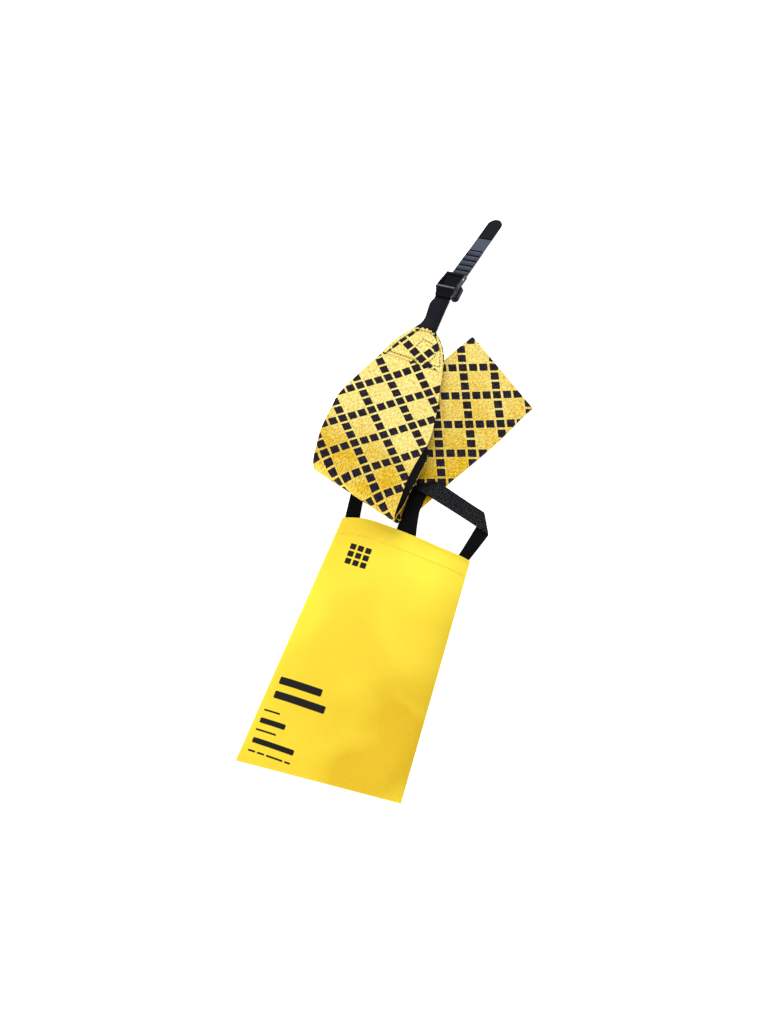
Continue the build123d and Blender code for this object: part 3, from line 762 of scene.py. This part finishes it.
def bag_grid(u_range, down_range, step, fine=()):
    """Shares across and distances down for a panel, with extra rows where detail is fine."""
    u = np.linspace(*u_range, int(170 * (u_range[1] - u_range[0]) / step) + 2)
    down = np.concatenate([np.arange(down_range[0], down_range[1], step), [down_range[1]], fine])
    return np.meshgrid(u, np.unique(down.round(3)))


def make_bag():
    """The two panels and the hems turned into the mouth."""
    hem_rows = np.arange(15, 27, 0.8)
    u, down = bag_grid((0, 1), (0, BAG_DEPTH), 3.0, hem_rows)
    plan = bag_plan(u, down)
    top = np.dstack([plan, bag_top(u, down)])
    bottom = top - PANEL_T * grid_normals(top) * np.sign(grid_normals(top)[..., 2:3])
    bottom[..., 2] = np.maximum(bottom[..., 2], PANEL_T + 0.05)
    # The front panel carries its painted shading as a mark
    front = thin_piece("bag_front", top, bottom, plan, tone=blobs(plan[..., 0], plan[..., 1], PAINTED_SHADING))
    set_materials(front, BAG_FRONT, BAG_CLOTH)
    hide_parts("bag_front_panel")

    flat = np.dstack([plan, np.full(u.shape, PANEL_T)])
    back = thin_piece("bag_back", flat, flat - (0, 0, PANEL_T), plan)
    set_materials(back, BAG_CLOTH, BAG_CLOTH)
    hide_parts("bag_back_panel")

    u, down = bag_grid((0.09, 0.91), (0.4, HEM_DEPTH), 3.0)
    plan = bag_plan(u, down)
    high = bag_top(u, down) - PANEL_T - 0.1
    front_hem = thin_piece("bag_front_hem", np.dstack([plan, high]), np.dstack([plan, high - HEM_T]), plan)
    u, down = bag_grid((0.03, 0.97), (2.0, HEM_DEPTH), 3.0)
    plan = bag_plan(u, down)
    low = np.full(u.shape, PANEL_T + 0.05)
    back_hem = thin_piece("bag_back_hem", np.dstack([plan, low + HEM_T]), np.dstack([plan, low]), plan)
    for hem, node in ((front_hem, "front_hem"), (back_hem, "back_hem")):
        set_materials(hem, BAG_CLOTH, BAG_CLOTH)
        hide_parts(node)
    for piece, size, held in ((front, (0.18, 0.312), "laid"), (back, (0.18, 0.312), "laid"),
                              (front_hem, (0.136, 0.024), "folded"), (back_hem, (0.155, 0.022), "folded")):
        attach(piece, "root")


# ---------------------------------------------------------------- stitches

STITCH_PITCH = 4.2
RINGS = 6                        # of points along one stitch
SIDES = 7                        # of a stitch's section


def stitch_line(route, pitch, length, radius):
    """Short arched threads along a route of layout points."""
    route = np.asarray(route, float)
    run = run_along(route)
    count = max(1, int(run[-1] / pitch))
    points, faces = [], []
    for i in range(count):
        middle = (i + 0.5) * run[-1] / count
        stations = middle + length * np.linspace(-0.5, 0.5, RINGS)
        line = np.stack([np.interp(stations, run, axis) for axis in route.T], -1)
        arch = 1 - np.linspace(-1, 1, RINGS) ** 2
        line[:, 2] += radius * (1.2 * arch - 0.5)
        along = line[-1] - line[0]
        side = np.cross((0, 0, 1), along)
        side = side / np.linalg.norm(side)
        first = len(points)
        for j, centre in enumerate(line):
            size = radius * (0.45 + 0.55 * min(1, 2.2 * arch[j]))
            for k in range(SIDES):
                turn = 2 * pi * k / SIDES
                points.append(centre + size * (side * cos(turn) + np.array((0, 0, 1)) * sin(turn)))
        for j in range(RINGS - 1):
            for k in range(SIDES):
                a = first + SIDES * j + k
                b = first + SIDES * j + (k + 1) % SIDES
                faces.append([a, b, b + SIDES, a + SIDES])
        faces.append([first + k for k in range(SIDES)])
        faces.append([len(points) - SIDES + k for k in reversed(range(SIDES))])
    return points, faces


def make_stitches(name, routes, pitch, length, radius, material, node, body):
    """One piece that holds every thread of some seams."""
    points, faces = [], []
    for route in routes:
        more, sides = stitch_line(route, pitch, length, radius)
        faces += [[i + len(points) for i in side] for side in sides]
        points += more
    piece = mesh_piece(name, np.array(points), faces, sharp=80)
    set_materials(piece, material)
    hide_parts(node)
    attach(piece, body)


def hem_route(u_from, u_to, down):
    """A seam on the front panel, level with the mouth."""
    u = np.linspace(u_from, u_to, 90)
    down = np.full(u.shape, float(down))
    return np.column_stack([bag_plan(u, down), bag_top(u, down) + 0.05])


# ---------------------------------------------------------------- handles

def fold_over(left, right, radius, rise, steps=7):
    """Pairs of edge points round a flat fold between two points.

    rise is 1 for a fold that comes back on top and -1 for one that comes back underneath.
    """
    left = np.asarray(left, float)
    right = np.asarray(right, float)
    line = (right - left)[:2] / np.linalg.norm((right - left)[:2])
    out = np.array((-line[1], line[0], 0))
    pairs = []
    for turn in np.linspace(0, pi, steps):
        shift = out * radius * sin(turn) + np.array((0, 0, rise * radius * (1 - cos(turn))))
        pairs.append((left + shift, right + shift))
    return pairs


def tape_stations(pairs, step):
    """Fills in the pairs so that no gap along the tape is longer than a step."""
    lefts, rights = [np.array(pairs[0][0], float)], [np.array(pairs[0][1], float)]
    for (a, b), (c, d) in zip(pairs[:-1], pairs[1:]):
        a, b, c, d = (np.array(p, float) for p in (a, b, c, d))
        count = max(1, int(max(np.linalg.norm(c - a), np.linalg.norm(d - b)) / step))
        for i in range(1, count + 1):
            lefts.append(a + (c - a) * i / count)
            rights.append(b + (d - b) * i / count)
    return np.array(lefts), np.array(rights)


def soften(points, times):
    """Rounds a line's corners and keeps its ends."""
    points = points.copy()
    for _ in range(times):
        points[1:-1] = 0.25 * points[:-2] + 0.5 * points[1:-1] + 0.25 * points[2:]
    return points


def make_tape(name, pairs, nodes, worn=(0, 0)):
    """Woven tape ruled between pairs of edge points, with a grey painted highlight between two distances along
    it.
    """
    lefts, rights = tape_stations(pairs, 2.5)
    lefts = soften(lefts, 3)
    rights = soften(rights, 3)
    share = np.linspace(0, 1, 13)[None, :, None]
    middle = lefts[:, None] + (rights - lefts)[:, None] * share
    normal = grid_normals(middle)
    run = run_along((lefts + rights) / 2)
    width = np.linspace(0, WEBBING_W, 13)
    uv = np.stack(np.meshgrid(width, run), -1)
    edge = (WEBBING_T / 2) * np.array([0.6, *([1.0] * 11), 0.6])[None, :, None]
    grey = ease((uv[..., 1] - worn[0]) / 12) * ease((worn[1] - uv[..., 1]) / 12)
    piece = thin_piece(name, middle + normal * edge, middle - normal * edge, uv, worn=grey)
    set_materials(piece, WEBBING, WEBBING)
    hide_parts(*nodes)
    return piece


def make_handles():
    """The front handle with its sewn ends, and the rear handle that lies under the skin."""
    apex_low, apex_high = (-11.5, 61.0, 10.0), (12.0, 77.4, 10.4)
    leg = [((-12.6, -22, 9.1), (11.4, -22, 9.1)), ((-13.4, 0, 9.6), (12.4, 0, 9.6)),
           ((-13.4, 16, 9.7), (8.8, 16, 9.7)), ((-13.2, 35, 9.7), (5.4, 35, 9.7)),
           ((-13.0, 50, 9.8), (6.4, 52, 9.8))]
    apex = fold_over(apex_low, apex_high, 1.9, 1)
    band = [((5.5, 57.8, 13.2), (22, 76.1, 13.1)), ((26, 52.4, 12.0), (35, 72.3, 12.2)),
            ((42.7, 48.3, 10.6), (50.5, 68.2, 10.2)), ((58.1, 44.6, 8.8), (66.1, 64.1, 8.2))]
    corner = fold_over((94.1, 35.0, 6.0), (80.9, 60.6, 6.4), 1.1, -1)
    right_leg = [((88.5, 17.9, 3.0), (72.3, 19.7, 5.2)), ((82.2, 0, 1.9), (68, 0, 5.2)),
                 ((78.4, -10, 1.8), (65, -10, 5.0)), ((74, -22, 1.8), (61.6, -22, 4.6))]
    pairs = leg + apex + band + corner + right_leg
    # Painted highlight over the band, between 96 and 198 mm along the tape
    front = make_tape("front_handle_tape", pairs, ("front_handle", "front_handle_tabs"), worn=(96, 198))
    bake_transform(front)
    z = 2.3
    rear_pairs = [
        ((-75.5, -30, z), (-61, -30, z)), ((-79, 1, z), (-61.2, 4, z)), ((-83.5, 38, z), (-66.5, 36, z)),
        ((-80, 58, z), (-63, 42, z)), ((-66, 66, z), (-58, 44, z)), ((-2, 63, z), (-15, 41, z)),
        ((3, 48, z), (-15.5, 36, z)), ((4, 32, z), (-15, 28, z)), ((8.4, 14, z), (-13, 12, z)),
        ((11.4, -4, z), (-12, -4, z)), ((11.4, -30, z), (-12, -30, z)),
    ]
    rear = make_tape("rear_handle_tape", rear_pairs, ("rear_handle",))
    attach(rear, "root")


# ---------------------------------------------------------------- tail patch and tip tab

PATCH_LEFT = [(-107.2, 227.6), (-99.6, 246), (-89, 262.4), (-79.6, 275)]
PATCH_RIGHT = [(-27.6, 223.6), (-31, 240.4), (-36.6, 255.2), (-43.2, 265.2), (-49.8, 272.4)]
TOOTH_PITCH = 6.0                # pinked end of the patch
TOOTH_DEPTH = 2.6
PINKED_W = 31.0
PATCH_ROWS = 40


def make_patch():
    """The printed reinforcement over the tail, pinked where it crosses the strap."""
    left = curve_through(flap_flat(PATCH_LEFT), PATCH_ROWS)[:, None]
    right = curve_through(flap_flat(PATCH_RIGHT), PATCH_ROWS)[:, None]
    share = np.linspace(0, 1, 73)[None, :, None]
    flat = left + (right - left) * share
    rows = np.linspace(0, 1, PATCH_ROWS)[:, None]
    bulge = ease(rows ** 3) * np.sin(pi * share[..., 0]) * 5.0
    saw = np.abs((share[..., 0] * PINKED_W / TOOTH_PITCH) % 1 - 0.5) * 2 * TOOTH_DEPTH
    flat[..., 1] += bulge - (rows > 0.98) * saw
    v, run = flat[..., 0], flat[..., 1]
    rim = np.minimum(share[..., 0], 1 - share[..., 0]) * 75 * (1 - 0.6 * rows)
    plain = 1 - ease((np.minimum(rim, (1 - rows) * 50) - 3.2) / 0.6)
    turned = np.stack([v * cos(0.5) + run * sin(0.5) + 7, run * cos(0.5) - v * sin(0.5) + 11], -1)
    top = on_flap(v, run, PATCH_FACES[1])
    bottom = on_flap(v, run, PATCH_FACES[0])
    # The patch carries the flap's pale painted sheen
    patch = thin_piece("tail_patch_cloth", top, bottom, turned, plain=plain, pile=np.full(run.shape, 0.7))
    set_materials(patch, PLUSH, PLUSH_EDGE)
    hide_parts("tail_patch")
    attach(patch, "skin_flap")


def patch_seams():
    """The outer seam round the patch and the inner pentagon, as lines on its top."""
    rim = [(-99.5, 231), (-93.5, 247), (-84.8, 261), (-76.5, 270), (-64, 273.5), (-53, 270.5),
           (-45.6, 262.6), (-39.5, 253.5), (-34.5, 239), (-32, 229)]
    base = [(-99.5, 231), (-66, 229.5), (-32, 229)]
    inner = np.array([(-75, 236), (-64, 262), (-50, 258), (-41.5, 243), (-47, 232)], float)
    share = np.linspace(0, 1, 12)[:, None]
    sides = np.vstack([a + (b - a) * share for a, b in zip(inner[:-1], inner[1:])])
    routes = []
    for line in (curve_through(rim, 90), curve_through(base, 90), sides):
        flat = flap_flat(line)
        routes.append(on_flap(flat[:, 0], flat[:, 1], PATCH_FACES[1] + 0.12))
    return routes


def make_tip_tab():
    """The tab that wraps the wire loop's bar: tape that comes out over the bar and back under it."""
    x0, x1 = -80.0, -52.0
    z_top = Z_TAIL - PLUSH_FACES[1] - 0.75
    centre = (230.0, 10.2)
    radius = 2.5
    pairs = [((x0, 207, z_top), (x1, 207, z_top)), ((x0, 224, z_top), (x1, 224, z_top))]
    for turn in np.linspace(radians(60), radians(-150), 12):
        y, z = centre[0] + radius * cos(turn), centre[1] + radius * sin(turn)
        pairs.append(((x0, y, z), (x1, y, z)))
    piece = make_tape("tip_tab_tape", pairs, ("tip_tab",))
    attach(piece, "skin_flap")


# Rubber inside the strap where it bends: its place along the strap, left edge, right edge, bottom and top
BEND_RUBBER = np.array([(275.5, -78.4, -53.4, 10.55, 12.8), (280.2, -78.4, -53.4, 10.5, 12.8),
                        (284.0, -75.6, -53.0, 10.7, 12.1)])
STRAP_BEND = (279.6, 281.2)      # the rubber gets extra rows between these


def make_strap_bend():
    """The rubber that joins the strap to its sewn root.  It lies hidden inside both."""
    stations = BEND_RUBBER[:, 0]
    y = np.concatenate([np.linspace(stations[0], stations[-1], 10), np.linspace(*STRAP_BEND, 9)])
    y = np.unique(y.round(3))
    left, right, low, high = (np.interp(y, stations, column)[:, None] for column in BEND_RUBBER.T[1:])
    x = left + (right - left) * np.linspace(0, 1, 7)
    y = np.broadcast_to(y[:, None], x.shape)
    top = np.dstack([x, y, np.broadcast_to(high, x.shape)])
    bottom = np.dstack([x, y, np.broadcast_to(low, x.shape)])
    piece = thin_piece("strap_bend_rubber", top, bottom, np.dstack([x, y]))
    set_materials(piece, STRAP, STRAP)
    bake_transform(piece)


# ---------------------------------------------------------------- CAD nodes that stay

def finish_cad_nodes():
    """Materials for the moulded and metal parts."""
    finishes = {
        "strap_root": STRAP, "tail_strap": STRAP, "ladder_strap": LADDER, "buckle_frame": PLASTIC,
        "cam_lever": PLASTIC, "cam_pin": STEEL, "tip_loop": STEEL, "tip_rivets": STEEL,
    }
    for name, material in finishes.items():
        set_materials(NODES[name], material)


# ---------------------------------------------------------------- stage

def make_camera():
    """Looks down steeply from the bag's end, a little from the right."""
    azimuth, elevation = radians(18.9), radians(68.0)
    forward = Vector((-sin(azimuth) * cos(elevation), cos(azimuth) * cos(elevation), -sin(elevation)))
    camera = bpy.data.cameras.new("camera")
    camera.sensor_width = 36.0
    camera.lens = 42.19
    camera.clip_start = 0.05
    camera.clip_end = 20.0
    holder = bpy.data.objects.new("camera", camera)
    bpy.context.scene.collection.objects.link(holder)
    holder.location = Vector(world((142.4, -498.4, 1366.5)))
    holder.rotation_mode = "QUATERNION"
    holder.rotation_quaternion = forward.to_track_quat("-Z", "Y")
    bpy.context.scene.camera = holder


def make_light(name, place, size, power, colour=(1, 1, 1)):
    """A square soft box aimed at the object's middle."""
    light = bpy.data.lights.new(name, "AREA")
    light.size = size
    light.energy = power
    light.color = colour
    holder = bpy.data.objects.new(name, light)
    bpy.context.scene.collection.objects.link(holder)
    holder.location = place
    holder.rotation_mode = "QUATERNION"
    holder.rotation_quaternion = (-Vector(place)).to_track_quat("-Z", "Y")


def make_stage():
    """A white table and soft light from all round, strongest from above and behind."""
    size = 6.0
    mesh = bpy.data.meshes.new("table")
    corners = [(-size, -size, 0), (size, -size, 0), (size, size, 0), (-size, size, 0)]
    mesh.from_pydata(corners, [], [(0, 1, 2, 3)])
    table = bpy.data.objects.new("table", mesh)
    bpy.context.scene.collection.objects.link(table)
    finish = Finish("table", Specular_IOR_Level=0.1, Emission_Strength=0.8)
    finish.shader.inputs["Emission Color"].default_value = rgb(255, 255, 255)
    set_materials(table, finish.done(rgb(252, 252, 252), 0.9))
    make_light("key", (-0.5, 2.3, 1.7), 1.4, 60)
    make_light("fill", (-1.3, -2.2, 1.3), 1.8, 56)
    space = bpy.data.worlds.new("studio")
    space.use_nodes = True
    space.node_tree.nodes["Background"].inputs[0].default_value = (1, 1, 1, 1)
    space.node_tree.nodes["Background"].inputs[1].default_value = 0.55
    bpy.context.scene.world = space
    bpy.context.scene.view_settings.view_transform = "Standard"


make_camera()
make_skin()
make_bag()
hem_routes = [hem_route(0.02, 0.98, HEM_DEPTH - 2), hem_route(0.6, 0.98, 3)]
make_stitches("hem_threads", hem_routes, STITCH_PITCH, 3.0, 0.3, YELLOW_THREAD,
              "hem_stitching", "root")
make_handles()
make_patch()
make_stitches("patch_threads", patch_seams(), STITCH_PITCH, 3.2, 0.42, DARK_THREAD,
              "tail_patch_stitching", "skin_flap")
make_tip_tab()
make_strap_bend()
finish_cad_nodes()
make_stage()
